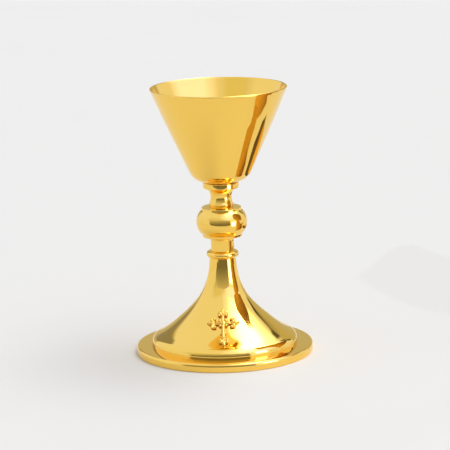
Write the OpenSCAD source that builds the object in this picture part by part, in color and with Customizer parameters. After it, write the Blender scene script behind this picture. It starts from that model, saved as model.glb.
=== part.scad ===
// Chalice: a spun conical cup on a turned stem with a round knop, over a flared foot with a cast cross.
// Millimetres, +Z up, standing on the plane z = 0 with its axis on the Z axis and the cross facing -Y.

/* [Cup] */
// Height from the table to the top of the rim
total_h = 200; // [196:0.5:215]
// Outer radius of the rim
rim_r = 50.8; // [48:0.1:54]
// Height of the conical wall above the rounded bottom corner
cup_wall_h = 62.7; // [60:0.1:64]
// Half-angle of the cone in degrees
cup_angle = 24.05; // [22:0.05:25]
// How far the wall bulges out from a straight cone
cup_bulge = 0.36; // [0.2:0.02:1.2]
// Radius of the rounded corner between the wall and the flat bottom
cup_corner_r = 12.4; // [10:0.1:13]
// Thickness of the spun cup
cup_wall = 1.2; // [0.8:0.1:1.6]

/* [Stem] */
// Radius of the collar under the cup
collar_r = 13.4; // [12.5:0.1:15]
// Height of the collar
collar_h = 4.6; // [4:0.1:5]
// Radius of the upper stem at the top of the band around its foot
upper_stem_r = 9.05; // [8.8:0.05:10]
// Radius of the upper stem at its waist
upper_stem_waist_r = 7.9; // [7.6:0.05:8.2]
// Radius of the upper stem at its head, under the collar
upper_stem_head_r = 11.6; // [10.5:0.1:12]
// Radius of the knop at its equator
knop_r = 19.04; // [17.5:0.02:21]
// Radius of the upright lips around the knop's flat top and bottom
knop_lip_r = 14.95; // [13.5:0.05:16]
// Height of each lip
knop_lip_h = 1.8; // [1.2:0.1:2.2]
// Height of the knop with its lips
knop_h = 22; // [19:0.1:24]
// Thickness of the spun knop
knop_wall = 1.5; // [1:0.1:2]
// Radius of the lower stem
lower_stem_r = 8.65; // [8:0.05:10]
// Height of the lower stem
lower_stem_h = 11.15; // [9:0.05:16]
// Radius of the half-round stem ring
ring_r = 12.1; // [11:0.1:14]
// Height of the stem ring
ring_h = 4.85; // [3.5:0.05:5.5]

/* [Foot] */
// Outer radius of the base flange
base_r = 66.2; // [64:0.1:70]
// Height of the base flange
base_h = 6.2; // [5:0.1:7]
// Width of the rounding along the flange's top edge
base_round_w = 1.5; // [1:0.1:3]
// Height of the same rounding
base_round_h = 2.6; // [1:0.1:3.5]
// Radius of the bell at its edge
bell_edge_r = 54.8; // [52:0.1:56]
// Height of the bell's upright skirt above the flange
bell_skirt_h = 1.55; // [1.4:0.05:3]
// Radius of the rounding between the flare and the skirt
bell_round = 6.9; // [5:0.1:8]
// Slope of the flare where the rounding starts, in degrees below level
bell_slope = 25; // [22:0.5:28]
// Height of the top of the bell's neck
bell_top_z = 71.9; // [69:0.1:75]
// Radius of the top of the bell's neck
neck_r = 9.8; // [9.6:0.1:11]
// Thickness of the spun bell
bell_wall = 1.2; // [0.9:0.1:1.4]

/* [Cross] */
// Distance from the axis to the middle of the cross, along the bell's face
cross_seat_r = 32; // [29:0.1:33]
// Length of the side arms from the middle of the cross
cross_side_arm = 12; // [9:0.5:13]
// Length of the top arm
cross_top_arm = 13; // [9:0.1:13]
// Length of the bottom arm
cross_bottom_arm = 21.5; // [16:0.1:23]
// Width of the arms
cross_bar_w = 3; // [2:0.1:4]
// Thickness of the cast plate of the cross
cross_plate_t = 1.5; // [0.8:0.1:1.6]
// Height of the raised ribs and leaves above the bell
cross_relief_t = 2.5; // [1.8:0.1:2.8]

/* [Hardware] */
// Thread diameter of the tie rod
thread_d = 6; // [5:0.5:6]
// Width across flats of the nuts
nut_flats = 10; // [9:0.5:10]
// Height of the nut under the foot
nut_h = 5; // [4:0.5:6]
// Height of the thin nut inside the stem
thin_nut_h = 3.2; // [2.5:0.1:3.5]
// Radius of the steel washers
washer_r = 6; // [5.5:0.1:6]
// Thickness of the washers under the foot
washer_t = 1.6; // [1:0.1:2]
// Thickness of the seat washer under the cup
seat_t = 1.2; // [0.8:0.1:1.5]

/* [Hidden] */

// Colours
gold = [0.93, 0.76, 0.33];
cast_gold = [0.86, 0.66, 0.26];
raw_brass = [0.72, 0.58, 0.32];
steel = [0.66, 0.67, 0.69];
nylon = [0.88, 0.86, 0.80];

// Fineness of round work
turned_fn = 128;
small_fn = 48;
arc_steps = 14;
flare_steps = 36;

// Clearances
thread_gap = 0.05;
nut_gap = 0.02;
rod_gap = 0.35;
spigot_gap = 0.05;
body_gap = 0.3;
solder_gap = 0.05;

// Threads are plain cylinders at their major diameter
thread_r = thread_d / 2;
rod_hole_r = thread_r + rod_gap;
rod_chamfer = 0.6;
rod_tail = 2;

// The cup's wall is one shallow arc: chord, half sweep and the angle of its outward normal at both ends
cup_chord = cup_wall_h / cos(cup_angle);
cup_arc_r = (pow(cup_chord / 2, 2) + pow(cup_bulge, 2)) / (2 * cup_bulge);
cup_half_sweep = asin(cup_chord / 2 / cup_arc_r);
cup_rim_angle = cup_half_sweep - cup_angle;
cup_foot_angle = -cup_half_sweep - cup_angle;
lip_r = cup_wall / 2;
cup_rim = [rim_r, total_h - lip_r * (1 - sin(cup_rim_angle))];
cup_middle = cup_rim - cup_chord / 2 * [sin(cup_angle), cos(cup_angle)];
cup_arc_centre = cup_middle - (cup_arc_r - cup_bulge) * [cos(cup_angle), -sin(cup_angle)];
cup_knee = cup_rim - cup_chord * [sin(cup_angle), cos(cup_angle)];
cup_corner_centre = cup_knee - cup_corner_r * [cos(cup_foot_angle), sin(cup_foot_angle)];
cup_bottom_z = cup_corner_centre[1] - cup_corner_r;

// Levels of the stacked stem, from the bell's neck up to the collar
ring_z = bell_top_z;
lower_stem_z = ring_z + ring_h;
knop_z = lower_stem_z + lower_stem_h;
upper_stem_z = knop_z + knop_h;
collar_top_z = cup_bottom_z - body_gap;
collar_z = collar_top_z - collar_h;
upper_stem_h = collar_z - upper_stem_z;

// Boss and washer under the cup
boss_flange_r = 8;
boss_flange_t = 1.5;
boss_spigot_r = 6;
seat_inner_r = boss_flange_r + body_gap;
seat_outer_r = 11.2;
collar_edge_round = 0.9;

// Upper stem: a slightly undercut band at its foot, a concave waist of two arcs above it, a counterbore for
// nut and boss
stem_foot_band = 2.8;
stem_foot_undercut = 0.3;
waist_share = 0.53;
stem_waist_up = waist_share * upper_stem_h;
stem_counterbore_r = boss_spigot_r + body_gap;
stem_floor_t = 1.6;
stem_washer_t = 1;
stem_nut_z = upper_stem_z + stem_floor_t + stem_washer_t;
boss_end_z = stem_nut_z + thin_nut_h + 2 * body_gap;
waist_z = upper_stem_z + stem_waist_up;
lower_waist_h = stem_waist_up - stem_foot_band;
upper_waist_h = upper_stem_h - stem_waist_up;
lower_waist_r = sagitta_radius(lower_waist_h, upper_stem_r - upper_stem_waist_r);
upper_waist_r = sagitta_radius(upper_waist_h, upper_stem_head_r - upper_stem_waist_r);

// Thread engaged between the tie rod and the boss: the distance that the cup rises as it unscrews
full_engagement = 10;
engaged_thread = min(full_engagement, cup_bottom_z - boss_flange_t - body_gap - boss_end_z);
rod_top_z = boss_end_z + engaged_thread;
boss_bore_top_z = rod_top_z + body_gap;

// Knop: a round body whose shoulders end at the lips, and a thick plate behind each lip
knop_half_h = knop_h / 2;
knop_body_half_h = knop_half_h - knop_lip_h;
knop_plate_t = knop_lip_h + knop_wall;
knop_belly_share = 0.5;
knop_shoulder_share = [0.48, 0.8];
knop_lip_lean = 8;
knop_edge_round = 0.4;
knop_edge_centre = [
    knop_lip_r - (knop_lip_h - knop_edge_round) * tan(knop_lip_lean) - knop_edge_round / cos(knop_lip_lean),
    knop_half_h - knop_edge_round
];
knop_core_r = 8;

// Lower stem: a cove at its head and a locating spigot at its foot
stem_cove = 5;
stem_cove_sweep = 50;
foot_spigot_r = 6;
bell_lid_t = bell_wall;

// Bell: a flaring curve with six control points, from the neck to the rounded edge
neck_lean = 3.4;
neck_handle = 10.3;
neck_reach = [2.1, -38.2];
edge_reach = [-20.4, 21.8];
flare_handle = 17.7;
bell_edge_centre = [bell_edge_r - bell_round, base_h + bell_skirt_h];
flare_start = [neck_r, bell_top_z];
flare_end = bell_edge_centre + bell_round * [sin(bell_slope), cos(bell_slope)];
flare_controls = [flare_start, flare_start + neck_handle * [sin(neck_lean), -cos(neck_lean)],
    flare_start + neck_reach, flare_end + edge_reach,
    flare_end - flare_handle * [cos(bell_slope), -sin(bell_slope)], flare_end];
flare_steps_between = [for (i = [0:4]) flare_controls[i + 1] - flare_controls[i]];

// Hub inside the neck, and the nut stack that pulls on it
hub_h = 8;
hub_r = neck_r - bell_wall - solder_gap;
hub_z = bell_top_z - bell_lid_t - hub_h;
tie_washer_z = hub_z - washer_t;
lock_washer_z = tie_washer_z - washer_t;
tie_nut_z = lock_washer_z - nut_h;
rod_bottom_z = tie_nut_z - rod_tail;
lock_washer_split = 1.2;

// Base ring: a locating lip inside the bell's skirt and a relieved underside
lip_outer_r = bell_edge_r - bell_wall - solder_gap;
lip_w = 3;
lip_h = bell_skirt_h;
base_rest_w = 9;
base_relief = 0.8;
base_edge_chamfer = 0.4;

// Cross: its place on the flare, and the leaves at the ends of its arms
seat_table = [for (i = [0:flare_steps]) [flare(i / flare_steps)[0], i / flare_steps]];
cross_t = lookup(cross_seat_r, seat_table);
cross_seat = flare(cross_t);
cross_tilt = atan2(flare_normal(cross_t)[1], flare_normal(cross_t)[0]);
cross_reach_in = 4;
cross_reach_out = 12;
leaf_l = 6.4;
leaf_w = 3.4;
side_leaf_r = 1.45;
side_leaf_out = 3.1;
side_leaf_back = 5;
band_back = 7.6;
band_w = 4.6;
band_h = 1.3;
rib_w = 1.2;
cross_boss_r = 2.3;
pin_r = 0.8;
pin_head_r = 1.5;
pin_head_t = 0.7;
pin_gap = 0.05;
pin_depth = 0.7;
pin_places = [cross_top_arm / 2, -cross_bottom_arm * 0.6];

// Points along an arc, from one angle to another
function arc(centre, radius, from, to, steps = arc_steps) = [for (i = [0:steps])
    let (angle = from + (to - from) * i / steps) centre + radius * [cos(angle), sin(angle)]];

// Radius of an arc that starts along an axis and moves away from it by the depth over the height
function sagitta_radius(height, depth) = (pow(height, 2) + pow(depth, 2)) / (2 * depth);

// A list of points in the opposite order
function reversed(points) = [for (i = [len(points) - 1:-1:0]) points[i]];

// Point of a Bezier curve at t from 0 to 1, by repeated blending of its control points
function bezier(controls, t) = len(controls) == 1 ? controls[0]
    : bezier([for (i = [0:len(controls) - 2]) (1 - t) * controls[i] + t * controls[i + 1]], t);

// The bell's flare: its point and its outward unit normal at t from 0 to 1
function flare(t) = bezier(flare_controls, t);
function flare_direction(t) = bezier(flare_steps_between, t);
function flare_normal(t) = [-flare_direction(t)[1], flare_direction(t)[0]] / norm(flare_direction(t));

// The flare moved outwards along its normal
function flare_offset(distance) =
    [for (i = [0:flare_steps]) flare(i / flare_steps) + distance * flare_normal(i / flare_steps)];

// A solid of revolution from points given as [radius, height]
module turned(points) {
    rotate_extrude($fn = turned_fn) polygon(points);
}

// A plain ring between two heights
module ring(inner, outer, low, high) {
    turned([[inner, low], [outer, low], [outer, high], [inner, high]]);
}

// A hexagon nut with chamfered corners, standing on the given height
module hex_nut(low, height) {
    corner_r = nut_flats / 2 / cos(30);
    chamfer = (corner_r - nut_flats / 2) / 2;
    intersection() {
        translate([0, 0, low]) cylinder(r = corner_r, h = height, $fn = 6);
        turned([[thread_r + nut_gap, low], [corner_r - chamfer, low], [corner_r, low + chamfer],
            [corner_r, low + height - chamfer], [corner_r - chamfer, low + height],
            [thread_r + nut_gap, low + height]]);
    }
}

module cup() {
    outer = concat(arc(cup_arc_centre, cup_arc_r, cup_rim_angle, cup_foot_angle),
        arc(cup_corner_centre, cup_corner_r, cup_foot_angle, -90));
    inner = concat(arc(cup_arc_centre, cup_arc_r - cup_wall, cup_rim_angle, cup_foot_angle),
        arc(cup_corner_centre, cup_corner_r - cup_wall, cup_foot_angle, -90));
    lip_centre = cup_rim - lip_r * [cos(cup_rim_angle), sin(cup_rim_angle)];
    lip = arc(lip_centre, lip_r, cup_rim_angle + 180, cup_rim_angle);
    color(gold) turned(concat([[0, cup_bottom_z + cup_wall]], reversed(inner),
        [for (i = [1:arc_steps - 1]) lip[i]], outer, [[0, cup_bottom_z]]));
}

module cup_boss() {
    bore_r = thread_r + thread_gap;
    color(raw_brass) turned([[0, cup_bottom_z], [0, boss_bore_top_z], [bore_r, boss_bore_top_z],
        [bore_r, boss_end_z], [boss_spigot_r, boss_end_z],
        [boss_spigot_r, cup_bottom_z - boss_flange_t], [boss_flange_r, cup_bottom_z - boss_flange_t],
        [boss_flange_r, cup_bottom_z]]);
}

module seat_washer() {
    color(nylon) ring(seat_inner_r, seat_outer_r, cup_bottom_z - seat_t, cup_bottom_z);
}

module cup_collar() {
    recess_z = cup_bottom_z - seat_t;
    recess_r = seat_outer_r + body_gap;
    edge = collar_r - collar_edge_round;
    color(gold) turned(concat(
        [[seat_inner_r, collar_z]],
        arc([edge, collar_z + collar_edge_round], collar_edge_round, -90, 0),
        arc([edge, collar_top_z - collar_edge_round], collar_edge_round, 0, 90),
        [[recess_r, collar_top_z], [recess_r, recess_z], [seat_inner_r, recess_z]]));
}

module upper_stem() {
    lower_sweep = asin(lower_waist_h / lower_waist_r);
    upper_sweep = asin(upper_waist_h / upper_waist_r);
    color(gold) turned(concat(
        [[rod_hole_r, upper_stem_z], [upper_stem_r - stem_foot_undercut, upper_stem_z]],
        arc([upper_stem_waist_r + lower_waist_r, waist_z], lower_waist_r, 180 + lower_sweep, 180),
        [for (i = [1:arc_steps]) arc([upper_stem_waist_r + upper_waist_r, waist_z], upper_waist_r,
            180, 180 - upper_sweep)[i]],
        [[stem_counterbore_r, collar_z],
        [stem_counterbore_r, upper_stem_z + stem_floor_t], [rod_hole_r, upper_stem_z + stem_floor_t]]));
}

module stem_nut() {
    color(steel) hex_nut(stem_nut_z, thin_nut_h);
}

module stem_nut_washer() {
    color(steel) ring(rod_hole_r, washer_r, stem_nut_z - stem_washer_t, stem_nut_z);
}

// Points from the knop's equator to the end of its shoulder
function knop_curve(equator, end) =
    let (shoulder = [end[0] + knop_shoulder_share[0] * (equator - end[0]), knop_shoulder_share[1] * end[1]],
        controls = [[equator, 0], [equator, knop_belly_share * end[1]], shoulder, end])
    [for (i = [0:arc_steps]) bezier(controls, i / arc_steps)];

// One half of the knop above its equator, open at the equator
module knop_half() {
    inner_end = [knop_lip_r - knop_wall / 2, knop_half_h - knop_plate_t];
    turned(concat(
        knop_curve(knop_r, [knop_lip_r, knop_body_half_h]),
        arc(knop_edge_centre, knop_edge_round, knop_lip_lean, 90),
        [[rod_hole_r, knop_half_h], [rod_hole_r, inner_end[1]]],
        reversed(knop_curve(knop_r - knop_wall, inner_end))));
}

module knop_upper_half() {
    color(gold) translate([0, 0, knop_z + knop_half_h]) knop_half();
}

module knop_lower_half() {
    color(gold) translate([0, 0, knop_z + knop_half_h]) mirror([0, 0, 1]) knop_half();
}

module knop_core() {
    color(raw_brass) ring(rod_hole_r, knop_core_r, knop_z + knop_plate_t, knop_z + knop_h - knop_plate_t);
}

module lower_stem() {
    top_z = lower_stem_z + lower_stem_h;
    spigot_z = ring_z - bell_lid_t;
    color(gold) turned(concat(
        [[rod_hole_r, spigot_z], [foot_spigot_r, spigot_z], [foot_spigot_r, lower_stem_z],
        [lower_stem_r, lower_stem_z]],
        arc([lower_stem_r + stem_cove, top_z - stem_cove * sin(stem_cove_sweep)], stem_cove,
            180, 180 - stem_cove_sweep),
        [[rod_hole_r, top_z]]));
}

module stem_ring() {
    bead_r = ring_h / 2;
    bore_r = foot_spigot_r + spigot_gap;
    color(gold) turned(concat([[bore_r, ring_z]],
        arc([ring_r - bead_r, ring_z + bead_r], bead_r, -90, 90), [[bore_r, ring_z + ring_h]]));
}

module foot_bell() {
    bore_r = foot_spigot_r + spigot_gap;
    lid_z = bell_top_z - bell_lid_t;
    inner = [for (p = flare_offset(-bell_wall)) if (p[1] < lid_z) p];
    color(gold) difference() {
        turned(concat(
            [[bore_r, lid_z], [bore_r, bell_top_z]],
            flare_offset(0),
            arc(bell_edge_centre, bell_round, 90 - bell_slope, 0),
            [[bell_edge_r, base_h], [bell_edge_r - bell_wall, base_h]],
            arc(bell_edge_centre, bell_round - bell_wall, 0, 90 - bell_slope),
            reversed(inner),
            [[neck_r - bell_wall, lid_z]]));
        for (place = pin_places)
            at_bell(place) translate([0, 0, -bell_wall * 2])
                cylinder(r = pin_r + pin_gap, h = bell_wall * 4, $fn = small_fn);
    }
}

module foot_hub() {
    color(raw_brass) ring(rod_hole_r, hub_r, hub_z, hub_z + hub_h);
}

module base_ring() {
    inner_r = lip_outer_r - lip_w;
    rest_r = base_r - base_rest_w;
    edge = [for (p = arc([0, 0], 1, 0, 90))
        [base_r - base_round_w * (1 - p[0]), base_h - base_round_h * (1 - p[1])]];
    color(gold) turned(concat(
        [[inner_r, base_relief], [rest_r, base_relief], [rest_r, 0], [base_r - base_edge_chamfer, 0],
        [base_r, base_edge_chamfer]],
        edge,
        [[lip_outer_r, base_h], [lip_outer_r, base_h + lip_h], [inner_r, base_h + lip_h]]));
}

// Places children on the bell's front, a distance up the slope from the middle of the cross, facing out
module at_bell(up_slope) {
    t = lookup(cross_seat_r - up_slope * sin(cross_tilt), seat_table);
    tilt = atan2(flare_normal(t)[1], flare_normal(t)[0]);
    translate([0, -flare(t)[0], flare(t)[1]]) rotate([90 - tilt, 0, 0]) children();
}

// A pointed leaf between two equal arcs, its tip at the given reach along +Y
module leaf(reach, length, width) {
    arc_r = (pow(length / 2, 2) + pow(width / 2, 2)) / width;
    translate([0, reach - length / 2]) intersection() {
        translate([arc_r - width / 2, 0]) circle(r = arc_r, $fn = small_fn);
        translate([width / 2 - arc_r, 0]) circle(r = arc_r, $fn = small_fn);
    }
}

// The end of an arm: a pointed leaf between two round ones, on a cross band
module arm_end(reach) {
    leaf(reach, leaf_l, leaf_w);
    for (side = [-1, 1])
        translate([side * side_leaf_out, reach - side_leaf_back]) circle(r = side_leaf_r, $fn = small_fn);
    translate([-side_leaf_out, reach - side_leaf_back - rib_w]) square([2 * side_leaf_out, rib_w]);
    translate([-band_w / 2, reach - band_back]) square([band_w, band_h]);
}

// Outline of the cast plate of the cross
module cross_outline() {
    arms = [cross_top_arm, cross_side_arm, cross_bottom_arm, cross_side_arm];
    for (i = [0:3])
        rotate(-90 * i) {
            translate([-cross_bar_w / 2, 0]) square([cross_bar_w, arms[i] - leaf_l / 2]);
            arm_end(arms[i]);
        }
    circle(r = cross_boss_r, $fn = small_fn);
}

// Outline of the raised ribs and leaves
module cross_relief() {
    arms = [cross_top_arm, cross_side_arm, cross_bottom_arm, cross_side_arm];
    for (i = [0:3])
        rotate(-90 * i) {
            translate([-rib_w / 2, 0]) square([rib_w, arms[i] - leaf_l / 2]);
            leaf(arms[i] - rib_w / 2, leaf_l - rib_w, leaf_w - rib_w);
        }
    circle(r = cross_boss_r - rib_w / 2, $fn = small_fn);
}

// A layer of the cross that follows the bell's face, up to the given height above it
module cross_layer(height) {
    intersection() {
        turned(concat(flare_offset(solder_gap), reversed(flare_offset(height))));
        translate([0, -cross_seat[0], cross_seat[1]]) rotate([90 - cross_tilt, 0, 0])
            translate([0, 0, -cross_reach_in]) linear_extrude(cross_reach_in + cross_reach_out) children();
    }
}

module cross() {
    color(cast_gold) difference() {
        union() {
            cross_layer(cross_plate_t) cross_outline();
            cross_layer(cross_relief_t) cross_relief();
        }
        for (place = pin_places)
            at_bell(place) translate([0, 0, -pin_depth])
                cylinder(r = pin_r + pin_gap, h = 2 * pin_depth + pin_gap, $fn = small_fn);
    }
}

module cross_pins() {
    shank_low = -bell_wall - pin_gap;
    color(raw_brass) for (place = pin_places)
        at_bell(place) {
            translate([0, 0, shank_low]) cylinder(r = pin_r, h = pin_depth - shank_low, $fn = small_fn);
            translate([0, 0, shank_low - pin_head_t])
                cylinder(r = pin_head_r, h = pin_head_t, $fn = small_fn);
        }
}

module tie_rod() {
    color(steel) turned([[0, rod_bottom_z], [thread_r - rod_chamfer, rod_bottom_z],
        [thread_r, rod_bottom_z + rod_chamfer], [thread_r, rod_top_z - rod_chamfer],
        [thread_r - rod_chamfer, rod_top_z], [0, rod_top_z]]);
}

module tie_washer() {
    color(steel) ring(rod_hole_r, washer_r, tie_washer_z, tie_washer_z + washer_t);
}

module lock_washer() {
    color(steel) difference() {
        ring(rod_hole_r, washer_r, lock_washer_z, lock_washer_z + washer_t);
        translate([0, -lock_washer_split / 2, lock_washer_z - washer_t])
            cube([2 * washer_r, lock_washer_split, 3 * washer_t]);
    }
}

module tie_nut() {
    color(steel) hex_nut(tie_nut_z, nut_h);
}

cup();
cup_boss();
seat_washer();
cup_collar();
upper_stem();
stem_nut();
stem_nut_washer();
knop_upper_half();
knop_core();
knop_lower_half();
lower_stem();
stem_ring();
foot_bell();
foot_hub();
base_ring();
cross();
cross_pins();
tie_rod();
tie_washer();
lock_washer();
tie_nut();
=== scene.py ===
import math

import bpy
import numpy as np
from mathutils import Matrix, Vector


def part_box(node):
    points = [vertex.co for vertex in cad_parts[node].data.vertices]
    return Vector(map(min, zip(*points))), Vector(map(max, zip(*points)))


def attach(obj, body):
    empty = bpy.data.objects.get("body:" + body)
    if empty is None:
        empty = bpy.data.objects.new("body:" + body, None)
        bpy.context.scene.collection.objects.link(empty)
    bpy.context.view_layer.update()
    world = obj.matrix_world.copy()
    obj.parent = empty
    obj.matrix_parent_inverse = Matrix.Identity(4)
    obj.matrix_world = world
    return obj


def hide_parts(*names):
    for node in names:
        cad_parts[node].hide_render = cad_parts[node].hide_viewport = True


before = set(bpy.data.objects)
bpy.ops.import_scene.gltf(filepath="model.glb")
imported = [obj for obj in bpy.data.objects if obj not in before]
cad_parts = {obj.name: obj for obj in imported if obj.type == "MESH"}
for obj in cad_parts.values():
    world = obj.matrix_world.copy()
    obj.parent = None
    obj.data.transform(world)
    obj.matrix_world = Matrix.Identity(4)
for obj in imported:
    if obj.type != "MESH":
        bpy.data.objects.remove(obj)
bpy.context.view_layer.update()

# Lengths below are in millimetres and angles in degrees, unless a name says otherwise
MM = 0.001


def low_z(node):
    """Height of a CAD node's lowest point."""
    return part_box(node)[0].z / MM


def high_z(node):
    """Height of a CAD node's highest point."""
    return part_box(node)[1].z / MM


def radius_of(node):
    """Largest radius of a CAD node that is turned about the Z axis."""
    low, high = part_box(node)
    return max(-low.x, -low.y, high.x, high.y) / MM


# Shape values that the boxes of the CAD nodes don't give
CUP_ANGLE = 24.05
CUP_BULGE = 0.36
CUP_CORNER = 12.4
CUP_WALL = 1.2
COLLAR_EDGE = 0.9
STEM_FOOT = 9.05
STEM_WAIST = 7.9
STEM_FOOT_BAND = 2.8
STEM_FOOT_UNDERCUT = 0.3
STEM_WAIST_SHARE = 0.53
KNOP_LIP = 14.95
KNOP_LIP_HEIGHT = 1.8
KNOP_LIP_LEAN = 8
KNOP_BELLY_SHARE = 0.5
KNOP_SHOULDER_SHARE = (0.48, 0.8)
KNOP_WALL = 1.5
KNOP_EDGE = 0.4
LOWER_STEM = 8.65
STEM_COVE = 5
STEM_COVE_SWEEP = 50
BELL_WALL = 1.2
BELL_SKIRT = 1.55
BELL_ROUND = 6.9
BELL_SLOPE = 25
NECK_RADIUS = 9.8
NECK_LEAN = 3.4
NECK_HANDLE = 10.3
NECK_REACH = (2.1, -38.2)
EDGE_REACH = (-20.4, 21.8)
FLARE_HANDLE = 17.7
BASE_ROUND_WIDTH = 1.5
BASE_ROUND_HEIGHT = 2.6
LIP_WIDTH = 3
REST_WIDTH = 9
REST_RELIEF = 0.8
FOOT_CHAMFER = 0.4
ROD_HOLE = 3.35
SPIGOT = 6
STEM_BORE = 6.3
SEAT_BORE = 8.3
BODY_GAP = 0.3
FIT_GAP = 0.05
STEM_EDGE = 0.35
SMALL_ROUND = 0.25

# Steps round a turned piece, degrees to a step of an arc, and the least angle that is shaded as a crease
SEGMENTS = 288
FINE = 3
CREASE_RADIANS = math.radians(28)
# Lengths under which a point counts as on the axis, and a corner as too small to round
ON_AXIS = 1e-6
LEAST_CUT = 1e-4
# Largest share of an edge that the rounding of one of its corners takes
EDGE_SHARE = 0.45
# Keeps a division safe where two points coincide
TINY = 1e-12


# Outlines

def polar(angle):
    """Unit direction of an angle."""
    return np.array([math.cos(math.radians(angle)), math.sin(math.radians(angle))])


def arc(centre, radius, start, end, fine=FINE):
    """Points along an arc, about one every few degrees."""
    steps = max(4, math.ceil(abs(end - start) / fine))
    return [np.array(centre) + radius * polar(a) for a in np.linspace(start, end, steps + 1)]


def bow(start, end, rise, steps=48):
    """Points along a shallow arc between two points, bulging to the right of the way from start to end."""
    start, end = np.array(start, float), np.array(end, float)
    chord = np.linalg.norm(end - start)
    along = (end - start) / chord
    side = np.array([along[1], -along[0]])
    t = np.linspace(0, 1, steps + 1)
    return [start + chord * k * along + 4 * rise * k * (1 - k) * side for k in t]


def bezier(controls, steps):
    """Points along a Bezier curve with any number of control points."""
    line = []
    for t in np.linspace(0, 1, steps + 1):
        blend = np.array(controls, float)
        while len(blend) > 1:
            blend = (1 - t) * blend[:-1] + t * blend[1:]
        line.append(blend[0])
    return line


def sagitta_radius(height, depth):
    """Radius of an arc that starts along an axis and leaves it by the depth over the height."""
    return (height ** 2 + depth ** 2) / (2 * depth)


def directions(line):
    """Unit directions along a line of points."""
    along = np.gradient(line, axis=0)
    return along / np.linalg.norm(along, axis=1)[:, None]


def shifted(points, distance):
    """A line of points moved to its left by a distance."""
    line = np.array(points)
    along = directions(line)
    return list(line + distance * np.stack([-along[:, 1], along[:, 0]], 1))


def softened(points, radius=SMALL_ROUND, steps=4):
    """A closed outline whose corners are rounded off by the given radius."""
    line = np.array(points, float)
    result = []
    for before, corner, after in zip(np.roll(line, 1, 0), line, np.roll(line, -1, 0)):
        into, out = corner - before, after - corner
        into_len, out_len = np.linalg.norm(into), np.linalg.norm(out)
        turn = math.acos(np.clip(into @ out / max(into_len * out_len, TINY), -1, 1))
        cut = min(radius * math.tan(turn / 2), EDGE_SHARE * into_len, EDGE_SHARE * out_len)
        if turn < CREASE_RADIANS or corner[0] < ON_AXIS or cut < LEAST_CUT:
            result.append(corner)
            continue
        start, end = corner - into / into_len * cut, corner + out / out_len * cut
        result += bezier([start, corner, end], steps)
    return result


# Meshes

def mesh_object(name, vertices, faces):
    """A smooth-shaded object with creases kept sharp; vertices are in millimetres."""
    mesh = bpy.data.meshes.new(name)
    mesh.from_pydata((np.array(vertices) * MM).tolist(), [], faces)
    mesh.shade_smooth()
    mesh.set_sharp_from_angle(angle=CREASE_RADIANS)
    piece = bpy.data.objects.new(name, mesh)
    bpy.context.scene.collection.objects.link(piece)
    return piece


def lathe(name, outline, segments=SEGMENTS):
    """A solid of revolution from a closed outline of [radius, height] points that runs anticlockwise."""
    turn = np.linspace(0, 2 * math.pi, segments, endpoint=False)
    vertices, rings, faces = [], [], []
    for radius, height in outline:
        first = len(vertices)
        if radius < ON_AXIS:
            vertices.append((0, 0, height))
            rings.append([first] * segments)
        else:
            vertices += [(radius * math.cos(a), radius * math.sin(a), height) for a in turn]
            rings.append(list(range(first, first + segments)))
    for lower, upper in zip(rings, rings[1:] + rings[:1]):
        for k in range(segments):
            nxt = (k + 1) % segments
            corners = list(dict.fromkeys((lower[k], lower[nxt], upper[nxt], upper[k])))
            if len(corners) > 2:
                faces.append(corners)
    return mesh_object(name, vertices, faces)


def tube_faces(first, loop, count):
    """Faces of a closed tube: how many loops, of how many points each, from the number of the first point."""
    last = first + (count - 1) * loop
    faces = []
    for near in range(first, last, loop):
        far = near + loop
        faces += [(near + k, near + (k + 1) % loop, far + (k + 1) % loop, far + k) for k in range(loop)]
    return faces + [tuple(range(first + loop - 1, first - 1, -1)), tuple(range(last, last + loop))]


def dress(piece, body, node, finish):
    """Gives a piece its finish and its body, and hides the CAD node that it stands for."""
    piece.data.materials.append(finish)
    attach(piece, body)
    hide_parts(node)
    return piece


# Outlines of the turned and spun pieces, as closed lines of [radius, height] points

def cup_outline():
    rim, base = high_z("cup"), low_z("cup")
    lean = math.radians(CUP_ANGLE)
    # The wall leaves the corner's arc along its own tangent and ends at the lip
    lip = CUP_WALL / 2
    wall_h = rim - lip * (1 + math.sin(lean)) - base
    knee_angle = -CUP_ANGLE - math.degrees(4 * CUP_BULGE / (wall_h / math.cos(lean)))
    knee_drop = CUP_CORNER * (1 + math.sin(math.radians(knee_angle)))
    top = np.array([radius_of("cup") - lip * (1 - math.cos(lean)), base + wall_h])
    knee = top - (wall_h - knee_drop) * np.array([math.tan(lean), 1])
    corner = knee - CUP_CORNER * polar(knee_angle)
    outer = arc(corner, CUP_CORNER, -90, knee_angle)[:-1] + bow(knee, top, CUP_BULGE)
    inner = shifted(outer, CUP_WALL)
    rim_angle = -2 * CUP_ANGLE - knee_angle
    lip_centre = (outer[-1] + inner[-1]) / 2
    crest = arc(lip_centre, lip, rim_angle, rim_angle + 180, fine=12)
    return [[0, base]] + outer + crest[1:-1] + inner[::-1] + [[0, base + CUP_WALL]]


def collar_outline():
    low, high, radius = low_z("cup_collar"), high_z("cup_collar"), radius_of("cup_collar")
    bore, recess, floor = SEAT_BORE, radius_of("seat_washer") + BODY_GAP, low_z("seat_washer")
    edge = radius - COLLAR_EDGE
    return softened([[bore, low]] + arc([edge, low + COLLAR_EDGE], COLLAR_EDGE, -90, 0, fine=6)
                    + arc([edge, high - COLLAR_EDGE], COLLAR_EDGE, 0, 90, fine=6)
                    + [[recess, high], [recess, floor], [bore, floor]])


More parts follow.
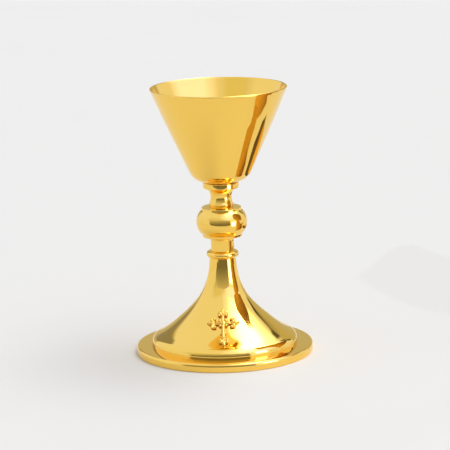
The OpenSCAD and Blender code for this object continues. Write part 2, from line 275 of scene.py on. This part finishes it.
def upper_stem_outline():
    low, high, head = low_z("upper_stem"), high_z("upper_stem"), radius_of("upper_stem")
    waist = low + STEM_WAIST_SHARE * (high - low)
    lower_r = sagitta_radius(waist - low - STEM_FOOT_BAND, STEM_FOOT - STEM_WAIST)
    upper_r = sagitta_radius(high - waist, head - STEM_WAIST)
    lower_sweep = math.degrees(math.asin((waist - low - STEM_FOOT_BAND) / lower_r))
    upper_sweep = math.degrees(math.asin((high - waist) / upper_r))
    side = (arc([STEM_WAIST + lower_r, waist], lower_r, 180 + lower_sweep, 180)
            + arc([STEM_WAIST + upper_r, waist], upper_r, 180, 180 - upper_sweep)[1:])
    floor = low_z("stem_nut_washer")
    return softened([[ROD_HOLE, low], [STEM_FOOT - STEM_FOOT_UNDERCUT, low]] + side
                    + [[STEM_BORE, high], [STEM_BORE, floor], [ROD_HOLE, floor]], STEM_EDGE)


def knop_curve(equator, end, steps):
    """Points from the knop's equator to the end of its shoulder."""
    across, up = KNOP_SHOULDER_SHARE
    shoulder = (end[0] + across * (equator - end[0]), up * end[1])
    return bezier([(equator, 0), (equator, KNOP_BELLY_SHARE * end[1]), shoulder, end], steps)


def knop_outline(up):
    """One half of the knop: up is 1 for the upper half and -1 for the lower one."""
    node = "knop_upper_half" if up > 0 else "knop_lower_half"
    half = high_z(node) - low_z(node)
    equator = low_z(node) if up > 0 else high_z(node)
    radius = radius_of(node)
    lean = math.radians(KNOP_LIP_LEAN)
    face = KNOP_LIP - (KNOP_LIP_HEIGHT - KNOP_EDGE) * math.tan(lean)
    edge = [face - KNOP_EDGE / math.cos(lean), half - KNOP_EDGE]
    inner_end = [KNOP_LIP - KNOP_WALL / 2, half - KNOP_LIP_HEIGHT - KNOP_WALL]
    points = (knop_curve(radius, [KNOP_LIP, half - KNOP_LIP_HEIGHT], steps=40)
              + arc(edge, KNOP_EDGE, KNOP_LIP_LEAN, 90, fine=10)
              + [[ROD_HOLE, half], [ROD_HOLE, inner_end[1]]]
              + knop_curve(radius - KNOP_WALL, inner_end, steps=16)[::-1])
    placed = [[r, equator + up * z] for r, z in points]
    return placed if up > 0 else placed[::-1]


def lower_stem_outline():
    spigot_low, high = low_z("lower_stem"), high_z("lower_stem")
    low = high_z("stem_ring")
    cove_low = high - STEM_COVE * math.sin(math.radians(STEM_COVE_SWEEP))
    head = arc([LOWER_STEM + STEM_COVE, cove_low], STEM_COVE, 180, 180 - STEM_COVE_SWEEP, fine=4)
    spigot = [[ROD_HOLE, spigot_low], [SPIGOT, spigot_low], [SPIGOT, low]]
    return softened(spigot + [[LOWER_STEM, low]] + head + [[ROD_HOLE, high]])


def stem_ring_outline():
    low, high, radius = low_z("stem_ring"), high_z("stem_ring"), radius_of("stem_ring")
    bead = (high - low) / 2
    bore = SPIGOT + FIT_GAP
    return [[bore, low]] + arc([radius - bead, low + bead], bead, -90, 90) + [[bore, high]]


def flare_points(steps=140):
    """The bell's flare from its neck down to its rounded edge."""
    edge = np.array([radius_of("foot_bell") - BELL_ROUND, low_z("foot_bell") + BELL_SKIRT])
    start = np.array([NECK_RADIUS, high_z("foot_bell")])
    end = edge + BELL_ROUND * polar(90 - BELL_SLOPE)
    return bezier([start, start + NECK_HANDLE * polar(NECK_LEAN - 90), start + NECK_REACH,
                   end + EDGE_REACH, end - FLARE_HANDLE * polar(-BELL_SLOPE), end], steps)


def foot_bell_outline():
    low, high, radius = low_z("foot_bell"), high_z("foot_bell"), radius_of("foot_bell")
    edge = [radius - BELL_ROUND, low + BELL_SKIRT]
    lid = high - BELL_WALL
    bore = SPIGOT + FIT_GAP
    outer = flare_points() + arc(edge, BELL_ROUND, 90 - BELL_SLOPE, 0)[1:] + [[radius, low]]
    inner = [p for p in shifted(flare_points(steps=48), -BELL_WALL) if p[1] < lid]
    skirt = arc(edge, BELL_ROUND - BELL_WALL, 90 - BELL_SLOPE, 0, fine=8)[1:] + [[radius - BELL_WALL, low]]
    return [[bore, lid], [NECK_RADIUS - BELL_WALL, lid]] + inner + skirt + outer[::-1] + [[bore, high]]


def base_ring_outline():
    radius = radius_of("base_ring")
    flange = low_z("foot_bell")
    lip = radius_of("foot_bell") - BELL_WALL - FIT_GAP
    inner = lip - LIP_WIDTH
    rest = radius - REST_WIDTH
    quarter = np.array(arc([0, 0], 1, 0, 90))
    edge = list(np.array([radius, flange]) - (1 - quarter) * [BASE_ROUND_WIDTH, BASE_ROUND_HEIGHT])
    foot = [[rest, 0], [radius - FOOT_CHAMFER, 0], [radius, FOOT_CHAMFER]]
    return softened([[inner, REST_RELIEF], [rest, REST_RELIEF]] + foot + edge
                    + [[lip, flange], [lip, high_z("base_ring")], [inner, high_z("base_ring")]])


# Materials

def material(name, metallic=0.0):
    """A new node material, its tree and its shader."""
    made = bpy.data.materials.new(name)
    made.use_nodes = True
    shader = made.node_tree.nodes["Principled BSDF"]
    shader.inputs["Metallic"].default_value = metallic
    return made, made.node_tree, shader


def add(tree, kind, **values):
    """A new node with its options and its unlinked inputs set by name."""
    node = tree.nodes.new(kind)
    for key, value in values.items():
        if key in node.inputs:
            node.inputs[key].default_value = value
        else:
            setattr(node, key, value)
    return node


def math_node(tree, operation, first, second=None):
    """A math node on a socket and a socket or number."""
    node = tree.nodes.new("ShaderNodeMath")
    node.operation = operation
    for place, value in enumerate((first, second)):
        if value is None:
            continue
        if isinstance(value, (int, float)):
            node.inputs[place].default_value = value
        else:
            tree.links.new(value, node.inputs[place])
    return node.outputs[0]


def spread(tree, source, low, high, start=0.0, end=1.0):
    """A value moved from one range to another."""
    node = add(tree, "ShaderNodeMapRange")
    tree.links.new(source, node.inputs["Value"])
    for key, value in (("From Min", start), ("From Max", end), ("To Min", low), ("To Max", high)):
        node.inputs[key].default_value = value
    return node.outputs["Result"]


def two_colours(tree, factor, first, second):
    """A blend of two colours by a factor; each is a colour or a socket."""
    node = add(tree, "ShaderNodeMix", data_type="RGBA")
    tree.links.new(factor, node.inputs["Factor"])
    for socket, value in zip((s for s in node.inputs if s.type == "RGBA"), (first, second)):
        if isinstance(value, tuple):
            socket.default_value = (*value, 1)
        else:
            tree.links.new(value, socket)
    return next(s for s in node.outputs if s.type == "RGBA")


def place_parts(tree, kind):
    """The x, y and z of a texture coordinate."""
    parts = add(tree, "ShaderNodeSeparateXYZ")
    tree.links.new(add(tree, "ShaderNodeTexCoord").outputs[kind], parts.inputs[0])
    return parts.outputs


def turning_noise(tree, lines_per_mm, streak):
    """Noise drawn out round the Z axis, as a lathe or polishing wheel leaves it."""
    x, y, z = place_parts(tree, "Object")
    radius = math_node(tree, "SQRT", math_node(
        tree, "ADD", math_node(tree, "MULTIPLY", x, x), math_node(tree, "MULTIPLY", y, y)))
    lines = lines_per_mm / MM
    joined = add(tree, "ShaderNodeCombineXYZ")
    for socket, value in zip(joined.inputs, (
            math_node(tree, "MULTIPLY", math_node(tree, "DIVIDE", x, radius), streak),
            math_node(tree, "MULTIPLY", math_node(tree, "DIVIDE", y, radius), streak),
            math_node(tree, "MULTIPLY", z, lines))):
        tree.links.new(value, socket)
    noise = add(tree, "ShaderNodeTexNoise", noise_dimensions="4D", Scale=1.0, Detail=3.0)
    tree.links.new(joined.outputs[0], noise.inputs["Vector"])
    tree.links.new(math_node(tree, "MULTIPLY", radius, lines), noise.inputs["W"])
    return noise.outputs["Fac"]


def plain_noise(tree, per_mm, detail=3.0):
    """Even noise with features of about one over per_mm millimetres."""
    noise = add(tree, "ShaderNodeTexNoise", Scale=per_mm / MM, Detail=detail)
    tree.links.new(add(tree, "ShaderNodeTexCoord").outputs["Object"], noise.inputs["Vector"])
    return noise.outputs["Fac"]


def bump(tree, shader, height, depth_mm):
    """Bumps the shader's surface by a height."""
    node = add(tree, "ShaderNodeBump", Strength=1.0, Distance=depth_mm * MM)
    tree.links.new(height, node.inputs["Height"])
    tree.links.new(node.outputs["Normal"], shader.inputs["Normal"])


GOLD = (0.99, 0.66, 0.135)
GOLD_WARM = (0.97, 0.62, 0.12)
# Darker, warmer gold that is painted into the cross's hollows as shade
GOLD_PAINTED_SHADE = (0.52, 0.24, 0.04)
BRASS_COLOURS = ((0.45, 0.30, 0.11), (0.62, 0.44, 0.18))
STEEL_COLOURS = ((0.42, 0.43, 0.45), (0.66, 0.67, 0.68))
NYLON_COLOURS = ((0.70, 0.66, 0.56), (0.80, 0.77, 0.68))


def polished_gold():
    """Mirror-polished gold plate with faint wheel marks and a slow drift of colour."""
    made, tree, shader = material("polished_gold", metallic=1.0)
    lines = turning_noise(tree, lines_per_mm=2.2, streak=1.6)
    drift = plain_noise(tree, per_mm=0.03)
    tree.links.new(two_colours(tree, drift, GOLD_WARM, GOLD), shader.inputs["Base Color"])
    tree.links.new(spread(tree, lines, low=0.02, high=0.07, start=0.3, end=0.75), shader.inputs["Roughness"])
    bump(tree, shader, lines, depth_mm=0.0006)
    return made


def cast_gold():
    """Gilt casting: satin and bright on the ridges, with a fine grain, and painted shade in the hollows,
    where its colour turns darker and warmer.
    """
    made, tree, shader = material("cast_gold", metallic=1.0)
    relief = add(tree, "ShaderNodeAttribute", attribute_name="relief").outputs["Fac"]
    grain = plain_noise(tree, per_mm=2.5, detail=4.0)
    # Painted shade: the colour turns darker and warmer where the cross lies low on the bell
    tree.links.new(two_colours(tree, relief, GOLD_PAINTED_SHADE, GOLD), shader.inputs["Base Color"])
    tree.links.new(spread(tree, relief, low=0.24, high=0.3), shader.inputs["Roughness"])
    bump(tree, shader, grain, depth_mm=0.008)
    return made


def turned_brass():
    """Unplated brass with plain turning marks."""
    made, tree, shader = material("turned_brass", metallic=1.0)
    lines = turning_noise(tree, lines_per_mm=3.0, streak=1.2)
    tree.links.new(two_colours(tree, lines, *BRASS_COLOURS), shader.inputs["Base Color"])
    tree.links.new(spread(tree, lines, low=0.25, high=0.45), shader.inputs["Roughness"])
    bump(tree, shader, lines, depth_mm=0.01)
    return made


def zinc_steel():
    """Zinc-plated steel with a mottled, lightly worn finish."""
    made, tree, shader = material("zinc_steel", metallic=1.0)
    mottle = plain_noise(tree, per_mm=0.7, detail=5.0)
    tree.links.new(two_colours(tree, mottle, *STEEL_COLOURS), shader.inputs["Base Color"])
    tree.links.new(spread(tree, mottle, low=0.22, high=0.42), shader.inputs["Roughness"])
    bump(tree, shader, plain_noise(tree, per_mm=4.0), depth_mm=0.006)
    return made


def nylon():
    """Natural nylon sheet, faintly grained."""
    made, tree, shader = material("nylon")
    grain = plain_noise(tree, per_mm=3.0, detail=4.0)
    tree.links.new(two_colours(tree, grain, *NYLON_COLOURS), shader.inputs["Base Color"])
    tree.links.new(spread(tree, grain, low=0.42, high=0.6), shader.inputs["Roughness"])
    bump(tree, shader, grain, depth_mm=0.01)
    return made


GOLD_PLATE = polished_gold()
CAST_GOLD = cast_gold()
BRASS = turned_brass()
STEEL = zinc_steel()
NYLON = nylon()

# Cross: modelled flat, with x across, y up the slope and z out of the bell, then laid on the bell's face

CROSS_SEAT = 32
CROSS_GAP = 0.05
CROSS_RELIEF = 2.5
CROSS_LEAN = 2
CROSS_VOXEL = 0.12
TOP_ARM, SIDE_ARM, BOTTOM_ARM = 13, 12, 21.5
SHAFT_WIDTH = 3.1
SHAFT_HEIGHT = 2.25
LEAF_LENGTH = 6.4
LEAF_WIDTH = 3.4
# A leaf's width follows a power of a half wave between two places on it, and its height a power of its width
LEAF_ENDS = (0.04, 0.985)
LEAF_POWER = 0.8
LEAF_HEIGHT_POWER = 0.6
PETAL_WIDTH = 2.4
PETAL_HEIGHT = 2.3
# Share of a petal's width and height that is left at its ends
PETAL_TAPER = 0.6
# Curve of a petal, as places across the arm and along it from the arm's tip, and the bead at its end
PETAL_CURVE = ((0.4, -7.4), (1.0, -3.4), (5.0, -2.6), (3.5, -6.2))
PETAL_END = (3.3, -5.9)
PETAL_BEAD = 1.35
# Share of the petals' spread on the top and bottom arms
NARROW = 0.76
BOSS_RADIUS = 2.3
LOBE_RADIUS = 1.3
LOBE_AWAY = 3.1
LOBE_HEIGHT = 2.2
KNOT_PLACE = 9.2
KNOT_HALF_WIDTH = 1.6
KNOT_BEAD = 0.9
KNOT_HEIGHT = 1.7
# Steps along the forms, and how near a bead and a bar come to no width at their ends
CURVE_STEPS, BEAD_STEPS, BAR_STEPS = 24, 14, 20
BEAD_END = 0.999
BAR_END = 0.02
# The higher this power, the squarer the ends of a bar
BAR_POWER = 6


class Casting:
    """Closed forms gathered in one mesh, to be fused later."""

    def __init__(self):
        self.vertices, self.faces = [], []

    def sweep(self, path, widths, heights, sides=12):
        """A half-round bar along a flat path, flat below and closed at both ends."""
        line = np.array(path, float)
        along = directions(line)
        across = np.stack([along[:, 1], -along[:, 0]], 1)
        turn = np.linspace(0, math.pi, sides + 1)
        self.faces += tube_faces(len(self.vertices), sides + 1, len(line))
        for place, side, width, height in zip(line, across, widths, heights):
            for a in turn:
                self.vertices.append((*(place + side * width / 2 * math.cos(a)), height * math.sin(a)))

    def bead(self, centre, radius, height):
        """A low round bead."""
        t = np.sin(np.linspace(-math.pi / 2, math.pi / 2, BEAD_STEPS + 1)) * BEAD_END
        share = np.sqrt(1 - t * t)
        self.sweep([np.array(centre) + (radius * k, 0) for k in t], 2 * radius * share, height * share)

    def bar(self, start, end, width, height):
        """A straight bar with rounded ends."""
        t = np.linspace(0, 1, BAR_STEPS + 1)
        share = np.sqrt(np.clip(1 - np.abs(2 * t - 1) ** BAR_POWER, BAR_END, 1))
        path = [(1 - k) * np.array(start, float) + k * np.array(end, float) for k in t]
        self.sweep(path, width * share, height * share)


def cross_arm(casting, turn, reach, wide):
    """One arm: a round shaft and a leafy end, a pointed leaf between two curled petals."""
    out, across = polar(turn), polar(turn - 90)

    def at(x, v):
        return x * across + v * out

    casting.bar(at(0, 0), at(0, reach - LEAF_LENGTH), SHAFT_WIDTH, SHAFT_HEIGHT)
    t = np.linspace(0, 1, CURVE_STEPS + 1)
    leaf = np.sin(math.pi * np.clip(t, *LEAF_ENDS)) ** LEAF_POWER
    spine = [at(0, reach - LEAF_LENGTH * (1 - k)) for k in t]
    casting.sweep(spine, LEAF_WIDTH * leaf, CROSS_RELIEF * leaf ** LEAF_HEIGHT_POWER)
    swell = PETAL_TAPER + (1 - PETAL_TAPER) * np.sin(math.pi * t)
    for side in (-wide, wide):
        curl = bezier([at(side * x, reach + v) for x, v in PETAL_CURVE], CURVE_STEPS)
        casting.sweep(curl, PETAL_WIDTH * swell, PETAL_HEIGHT * swell)
        casting.bead(at(side * PETAL_END[0], reach + PETAL_END[1]), PETAL_BEAD, CROSS_RELIEF)


def cross_casting():
    """All the forms of the cross."""
    casting = Casting()
    arms = ((90, TOP_ARM, NARROW), (0, SIDE_ARM, 1), (180, SIDE_ARM, 1), (270, BOTTOM_ARM, NARROW))
    for turn, reach, wide in arms:
        cross_arm(casting, turn, reach, wide)
    casting.bead((0, 0), BOSS_RADIUS, CROSS_RELIEF)
    for turn in (45, 135, 225, 315):
        casting.bead(LOBE_AWAY * polar(turn), LOBE_RADIUS, LOBE_HEIGHT)
    for side in (-1, 1):
        casting.bead((side * KNOT_HALF_WIDTH, -KNOT_PLACE), KNOT_BEAD, KNOT_HEIGHT)
    return casting


def on_bell(flat):
    """Flat points of the cross laid on the bell's front."""
    line = np.array(flare_points(steps=400))
    along = directions(line)
    length = np.concatenate([[0], np.cumsum(np.linalg.norm(np.diff(line, axis=0), axis=1))])
    seat = np.interp(CROSS_SEAT, line[:, 0], length)
    place = seat - flat[:, 1]
    radius, height = (np.interp(place, length, line[:, k]) for k in (0, 1))
    out, up = np.interp(place, length, -along[:, 1]), np.interp(place, length, along[:, 0])
    lift = flat[:, 2] + CROSS_GAP
    angle = np.arcsin(flat[:, 0] / radius)
    reach = radius + lift * out
    return np.stack([reach * np.sin(angle), -reach * np.cos(angle), height + lift * up], 1)


def applied(piece, kind, **values):
    """The mesh of a piece after one modifier."""
    modifier = piece.modifiers.new(kind.lower(), kind)
    for key, value in values.items():
        setattr(modifier, key, value)
    graph = bpy.context.evaluated_depsgraph_get()
    mesh = bpy.data.meshes.new_from_object(piece.evaluated_get(graph))
    piece.modifiers.clear()
    piece.data = mesh
    return mesh


def cast_cross():
    """The cross as one fused casting, with its relief kept on its points, which sets the finish's roughness
    and its painted shade.
    """
    casting = cross_casting()
    # One Blender unit to a millimetre while the forms are fused, so that the voxels are in millimetres
    piece = mesh_object("cast_cross", np.array(casting.vertices) / MM, casting.faces)
    applied(piece, "REMESH", mode="VOXEL", voxel_size=CROSS_VOXEL)
    mesh = applied(piece, "SMOOTH", factor=0.5, iterations=3)
    flat = np.empty(len(mesh.vertices) * 3)
    mesh.vertices.foreach_get("co", flat)
    flat = flat.reshape(-1, 3)
    flat[:, :2] = flat[:, :2] @ np.array([polar(CROSS_LEAN), polar(CROSS_LEAN + 90)])
    mesh.vertices.foreach_set("co", (on_bell(flat) * MM).ravel())
    # The relief, the height over the bell, sets where shade is painted on the cross
    relief = mesh.attributes.new("relief", "FLOAT", "POINT")
    relief.data.foreach_set("value", np.clip(flat[:, 2] / CROSS_RELIEF, 0, 1))
    mesh.update()
    mesh.shade_smooth()
    return piece


# Threaded rod

THREAD_PITCH = 1.0
THREAD_DEPTH = 0.54
ROD_CHAMFER = 0.6
# Shares of half the pitch that the crest and the flank of the thread take up; its root has the rest
CREST_SHARE = 0.15
FLANK_SHARE = 0.7
# Steps round the rod and to a turn of the thread
ROD_SEGMENTS = 40
TURN_STEPS = 10


def threaded_rod():
    """The tie rod with its screw thread, chamfered at both ends."""
    low, high, major = low_z("tie_rod"), high_z("tie_rod"), radius_of("tie_rod")
    heights = np.linspace(low, high, round((high - low) / THREAD_PITCH * TURN_STEPS) + 1)
    vertices = []
    for z in heights:
        limit = major - max(0, ROD_CHAMFER - (z - low), ROD_CHAMFER - (high - z))
        for k in range(ROD_SEGMENTS):
            phase = (z / THREAD_PITCH - k / ROD_SEGMENTS) % 1
            flank = np.clip((abs(2 * phase - 1) - CREST_SHARE) / FLANK_SHARE, 0, 1)
            radius = min(limit, major - THREAD_DEPTH * flank)
            vertices.append((*(radius * polar(360 * k / ROD_SEGMENTS)), z))
    return mesh_object("screw_rod", vertices, tube_faces(0, ROD_SEGMENTS, len(heights)))


# Turned and spun pieces: name, body, CAD node and outline
TURNED = (
    ("cup_bowl", "cup", "cup", cup_outline()),
    ("collar_ring", "base", "cup_collar", collar_outline()),
    ("stem_spool", "base", "upper_stem", upper_stem_outline()),
    ("knop_top", "base", "knop_upper_half", knop_outline(1)),
    ("knop_bottom", "base", "knop_lower_half", knop_outline(-1)),
    ("stem_tube", "base", "lower_stem", lower_stem_outline()),
    ("bead_ring", "base", "stem_ring", stem_ring_outline()),
    ("bell_shell", "base", "foot_bell", foot_bell_outline()),
    ("base_flange", "base", "base_ring", base_ring_outline()),
)
for name, body, node, outline in TURNED:
    dress(lathe(name, outline), body, node, GOLD_PLATE)
dress(cast_cross(), "base", "cross", CAST_GOLD)
dress(threaded_rod(), "base", "tie_rod", STEEL)

# CAD nodes that keep their own shape
for node, finish in (("cup_boss", BRASS), ("knop_core", BRASS), ("foot_hub", BRASS), ("cross_pins", BRASS),
                     ("stem_nut", STEEL), ("stem_nut_washer", STEEL), ("tie_washer", STEEL),
                     ("lock_washer", STEEL), ("tie_nut", STEEL), ("seat_washer", NYLON)):
    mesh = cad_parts[node].data
    mesh.materials.clear()
    mesh.materials.append(finish)


# Stage

FLOOR_HALF = 4000
FLOOR_COLOURS = ((0.845, 0.84, 0.83), (0.87, 0.865, 0.855))
FLOOR_ROUGHNESS = 0.85
CARD_ROUGHNESS = 0.9


def floor():
    """A wide pale floor under the chalice."""
    corners = [(x * FLOOR_HALF, y * FLOOR_HALF, 0) for x, y in ((-1, -1), (1, -1), (1, 1), (-1, 1))]
    piece = mesh_object("floor", corners, [(0, 1, 2, 3)])
    made, tree, shader = material("pale_floor")
    drift = plain_noise(tree, per_mm=0.004)
    tree.links.new(two_colours(tree, drift, *FLOOR_COLOURS), shader.inputs["Base Color"])
    shader.inputs["Roughness"].default_value = FLOOR_ROUGHNESS
    piece.data.materials.append(made)


def reflector(name, outline, finish):
    """A studio card that only the polished metal sees; its outline is in millimetres."""
    piece = mesh_object(name, outline, [tuple(range(len(outline)))])
    piece.data.materials.append(finish)
    piece.visible_camera = False
    piece.visible_diffuse = False
    piece.visible_shadow = False


def card_finish(name, first, second, axis, start, end):
    """A matt card whose colour changes along one axis, between two places in millimetres."""
    made, tree, shader = material(name)
    blend = spread(tree, place_parts(tree, "Object")[axis], 0.0, 1.0, start * MM, end * MM)
    tree.links.new(two_colours(tree, blend, first, second), shader.inputs["Base Color"])
    shader.inputs["Roughness"].default_value = CARD_ROUGHNESS
    return made


# Light that comes from all round: azimuth 0 is in front of the chalice and 90 to its right.
# A patch has a brightness in red, green and blue and, in azimuth and in elevation, the four angles
# at which it starts, is full, starts to fade and ends.
ROOM = (0.88, 0.91, 1.0)
PATCHES = (
    ("upper room", (0.90, 0.95, 1.16), (-200, -190, 190, 200), (8, 24, 95, 100)),
    ("above the front end", (0.70, 0.70, 0.72), (-75, -55, 0, 30), (14, 20, 24, 44)),
    ("softbox glow", (1.3, 1.34, 2.0), (-10, 20, 60, 80), (34, 48, 74, 84)),
    ("softbox glow, right", (2.7, 2.7, 3.2), (84, 100, 156, 172), (37, 51, 58, 64)),
    ("softbox", (7.0, 7.0, 7.4), (28, 92, 160, 178), (50, 57, 70, 86)),
    ("softbox corner", (3.6, 3.6, 4.2), (26, 48, 64, 80), (31, 40, 60, 70)),
    ("pale right", (1.34, 1.36, 2.7), (2, 36, 96, 108), (22, 28, 44, 52)),
    ("olive front", (0.80, 0.81, 0.68), (-57, -54, -18, -8), (26, 31, 40, 46)),
    ("lamp glow", (1.3, 1.3, 1.4), (40, 46, 70, 78), (-16, -10, 16, 30)),
    ("front end, upper", (0.45, 0.45, 0.45), (-58, -52, 30, 42), (2, 8, 16, 22)),
    ("front end", (0.36, 0.36, 0.36), (-58, -52, 30, 42), (-50, -40, 6, 14)),
    ("front end, darkest", (0.23, 0.23, 0.23), (-8, 6, 26, 36), (-50, -40, 12, 24)),
    ("back wall", (0.56, 0.53, 0.34), (134, 141, 216, 222), (-60, -50, 32, 38)),
    ("dark back, left", (0.30, 0.30, 0.28), (196, 199, 214, 219), (10, 14, 38, 41)),
    ("dark back, right", (0.42, 0.41, 0.31), (138, 140, 143, 152), (21, 26, 34, 39)),
    ("dark edge", (0.09, 0.09, 0.09), (132, 135, 139, 142), (14, 18, 31, 35)),
    ("dark edge, top", (0.12, 0.12, 0.11), (139, 142, 150, 154), (31, 33, 37, 40)),
)
# Share of this light that falls on matt things, at which a flat floor is lit at a level of 1
MATT_SHARE = 0.63
BACKDROP = (0.9, 0.9, 0.89)
# A patch that ends past this azimuth reaches round the back, where the plain azimuth would start anew
PAST_BACK = 200


def inside(tree, value, limits):
    """1 where a value lies well inside four limits in degrees and 0 where it lies outside them."""
    start, full, fade, end = (math.radians(v) for v in limits)
    rise = spread(tree, value, 0.0, 1.0, start, full)
    fall = spread(tree, value, 1.0, 0.0, fade, end)
    return math_node(tree, "MULTIPLY", rise, fall)


def studio_world():
    """A pale room with a large softbox above on the right, a glow round the lamp and a dark front end."""
    world = bpy.data.worlds.new("studio")
    world.use_nodes = True
    bpy.context.scene.world = world
    tree = world.node_tree
    x, y, z = place_parts(tree, "Generated")
    azimuth = math_node(tree, "ARCTAN2", x, math_node(tree, "MULTIPLY", y, -1.0))
    behind = math_node(tree, "MULTIPLY", math_node(tree, "LESS_THAN", azimuth, -math.pi / 2), 2 * math.pi)
    round_back = math_node(tree, "ADD", azimuth, behind)
    elevation = math_node(tree, "ARCSINE", z)
    light = ROOM
    for name, colour, across, up in PATCHES:
        turn = round_back if across[-1] > PAST_BACK else azimuth
        mask = math_node(tree, "MULTIPLY", inside(tree, turn, across), inside(tree, elevation, up))
        light = two_colours(tree, mask, light, colour)
    level = add(tree, "ShaderNodeRGBToBW")
    tree.links.new(light, level.inputs[0])
    rays = add(tree, "ShaderNodeLightPath").outputs
    on_matt = math_node(tree, "MULTIPLY", level.outputs[0], MATT_SHARE)
    lit = two_colours(tree, rays["Is Glossy Ray"], on_matt, light)
    shown = two_colours(tree, rays["Is Camera Ray"], lit, BACKDROP)
    tree.links.new(shown, tree.nodes["Background"].inputs["Color"])


# Lamp: its strength at its middle, and at its foot and top, and the shares of its height, counted from
# its middle, between which it grows dimmer
LAMP_AZIMUTH, LAMP_AWAY = 55, 225
LAMP_HALF_WIDTH, LAMP_LOW, LAMP_HIGH = 36, 42, 130
LAMP_COLOUR = (1.0, 1.0, 1.1)
LAMP_BODY = (0.02, 0.02, 0.02)
LAMP_STRENGTH, LAMP_END_STRENGTH = 7.5, 5.5
LAMP_FADE = (0.2, 0.5)
LAMP_MIDDLE = 0.5


def lamp_corners():
    """The corners of the lamp's front, which faces the chalice."""
    middle, across = LAMP_AWAY * polar(LAMP_AZIMUTH - 90), LAMP_HALF_WIDTH * polar(LAMP_AZIMUTH)
    places = ((-1, LAMP_LOW), (1, LAMP_LOW), (1, LAMP_HIGH), (-1, LAMP_HIGH))
    return [(*(middle + side * across), z) for side, z in places]


def lamp_finish():
    """The front of a lamp, a little dimmer towards its foot and its top."""
    made, tree, shader = material("lamp_front")
    height = place_parts(tree, "Generated")["Z"]
    away = math_node(tree, "ABSOLUTE", math_node(tree, "SUBTRACT", height, LAMP_MIDDLE))
    strength = spread(tree, away, LAMP_STRENGTH, LAMP_END_STRENGTH, *LAMP_FADE)
    tree.links.new(strength, shader.inputs["Emission Strength"])
    shader.inputs["Emission Color"].default_value = (*LAMP_COLOUR, 1)
    shader.inputs["Base Color"].default_value = (*LAMP_BODY, 1)
    return made


# Outlines of the cards: an upright gilt one beside the chalice and another behind that, gilt and dark ones
# flat on the floor, and a dark one across the front with a dark strip at its foot
GILT_X = 92
GILT_CARD = ((-29, 20), (14, 40), (20, 54), (8, 76), (-8, 88), (-14, 101), (-17, 114), (-21, 124),
             (-30, 134), (-45, 128), (-39, 118), (-38, 108), (-44, 97), (-41, 75), (-36, 52))
FAR_GILT_X = 150
FAR_GILT_CARD = ((-80, 162), (-40, 134), (-10, 122), (4, 118), (20, 115), (26, 132), (36, 148), (45, 172),
                 (44, 190), (36, 216), (24, 240), (12, 268), (-4, 284), (-48, 286), (-70, 250), (-84, 214))
FAR_MAT = ((218, -51), (224, -62), (560, -175), (540, 232), (285, 54), (278, 69), (267, 56), (253, 39),
           (230, 3))
DARK_MAT = ((271, 139), (253, 96), (234, 87), (214, 72), (197, 80), (179, 92), (150, 120), (130, 157),
            (106, 229), (142, 341), (160, 354), (207, 263), (235, 218), (260, 151))
GILT_MAT = ((258, 141), (240, 140), (223, 152), (202, 154), (181, 172), (155, 215), (140, 260), (144, 335),
            (160, 344), (205, 260), (233, 215))
MAT_Z = 1
FLAG_Y = -570
FLAG = ((-700, 0), (470, 0), (470, 390), (-700, 390))
FLAG_MAT = ((-700, FLAG_Y), (470, FLAG_Y), (410, -500), (-610, -500))

# The names of each card and its finish, its corners, its two colours, and the axis and the places between
# which the first colour turns into the second
CARDS = (
    ("gilt_reflector", "gilt_card", [(GILT_X, y, z) for y, z in GILT_CARD],
     (0.90, 0.56, 0.12), (0.34, 0.15, 0.03), "Y", -22, 4),
    ("far_gilt_reflector", "far_gilt_card", [(FAR_GILT_X, y, z) for y, z in FAR_GILT_CARD],
     (0.80, 0.46, 0.10), (0.36, 0.18, 0.06), "Y", -45, 30),
    ("far_gilt_mat", "far_gilt_floor_card", [(x, y, MAT_Z) for x, y in FAR_MAT],
     (0.74, 0.43, 0.08), (0.34, 0.15, 0.03), "Y", -40, 60),
    ("dark_mat", "dark_card", [(x, y, MAT_Z) for x, y in DARK_MAT],
     (0.09, 0.055, 0.03), (0.12, 0.07, 0.035), "Y", 70, 150),
    ("gilt_mat", "gilt_floor_card", [(x, y, 2 * MAT_Z) for x, y in GILT_MAT],
     (0.50, 0.26, 0.05), (0.85, 0.50, 0.06), "Y", 138, 185),
    ("dark_flag", "flag", [(x, FLAG_Y, z) for x, z in FLAG],
     (0.24, 0.24, 0.22), (0.84, 0.84, 0.82), "Z", 60, 385),
    ("flag_mat", "flag_floor_card", [(x, y, MAT_Z) for x, y in FLAG_MAT],
     (0.28, 0.28, 0.26), (0.23, 0.23, 0.21), "X", -60, 60),
)

floor()
studio_world()
reflector("lamp", lamp_corners(), lamp_finish())
for name, finish, corners, first, second, axis, start, end in CARDS:
    reflector(name, corners, card_finish(finish, first, second, axis, start, end))

# Camera: its distance and height fit the photograph's rim and base ellipses
CAMERA_PLACE_M = (0.0, -1.7067, 0.454)
CAMERA_TURN = 1.75
CAMERA_PITCH = 11.851
CAMERA_PAN = 0.079
CAMERA_ROLL = -1.53
FOCAL_PIXELS = 2339.8
IMAGE_PIXELS = 450
SENSOR_MM = 36.0

lens = bpy.data.cameras.new("camera")
lens.sensor_fit = "HORIZONTAL"
lens.sensor_width = SENSOR_MM
lens.lens = FOCAL_PIXELS / IMAGE_PIXELS * SENSOR_MM
camera = bpy.data.objects.new("camera", lens)
camera.matrix_world = (Matrix.Rotation(math.radians(CAMERA_TURN), 4, "Z")
                       @ Matrix.Translation(CAMERA_PLACE_M)
                       @ Matrix.Rotation(math.radians(-CAMERA_PAN), 4, "Z")
                       @ Matrix.Rotation(math.radians(90 - CAMERA_PITCH), 4, "X")
                       @ Matrix.Rotation(math.radians(CAMERA_ROLL), 4, "Z"))
bpy.context.scene.collection.objects.link(camera)
bpy.context.scene.camera = camera
bpy.context.scene.view_settings.view_transform = "Standard"
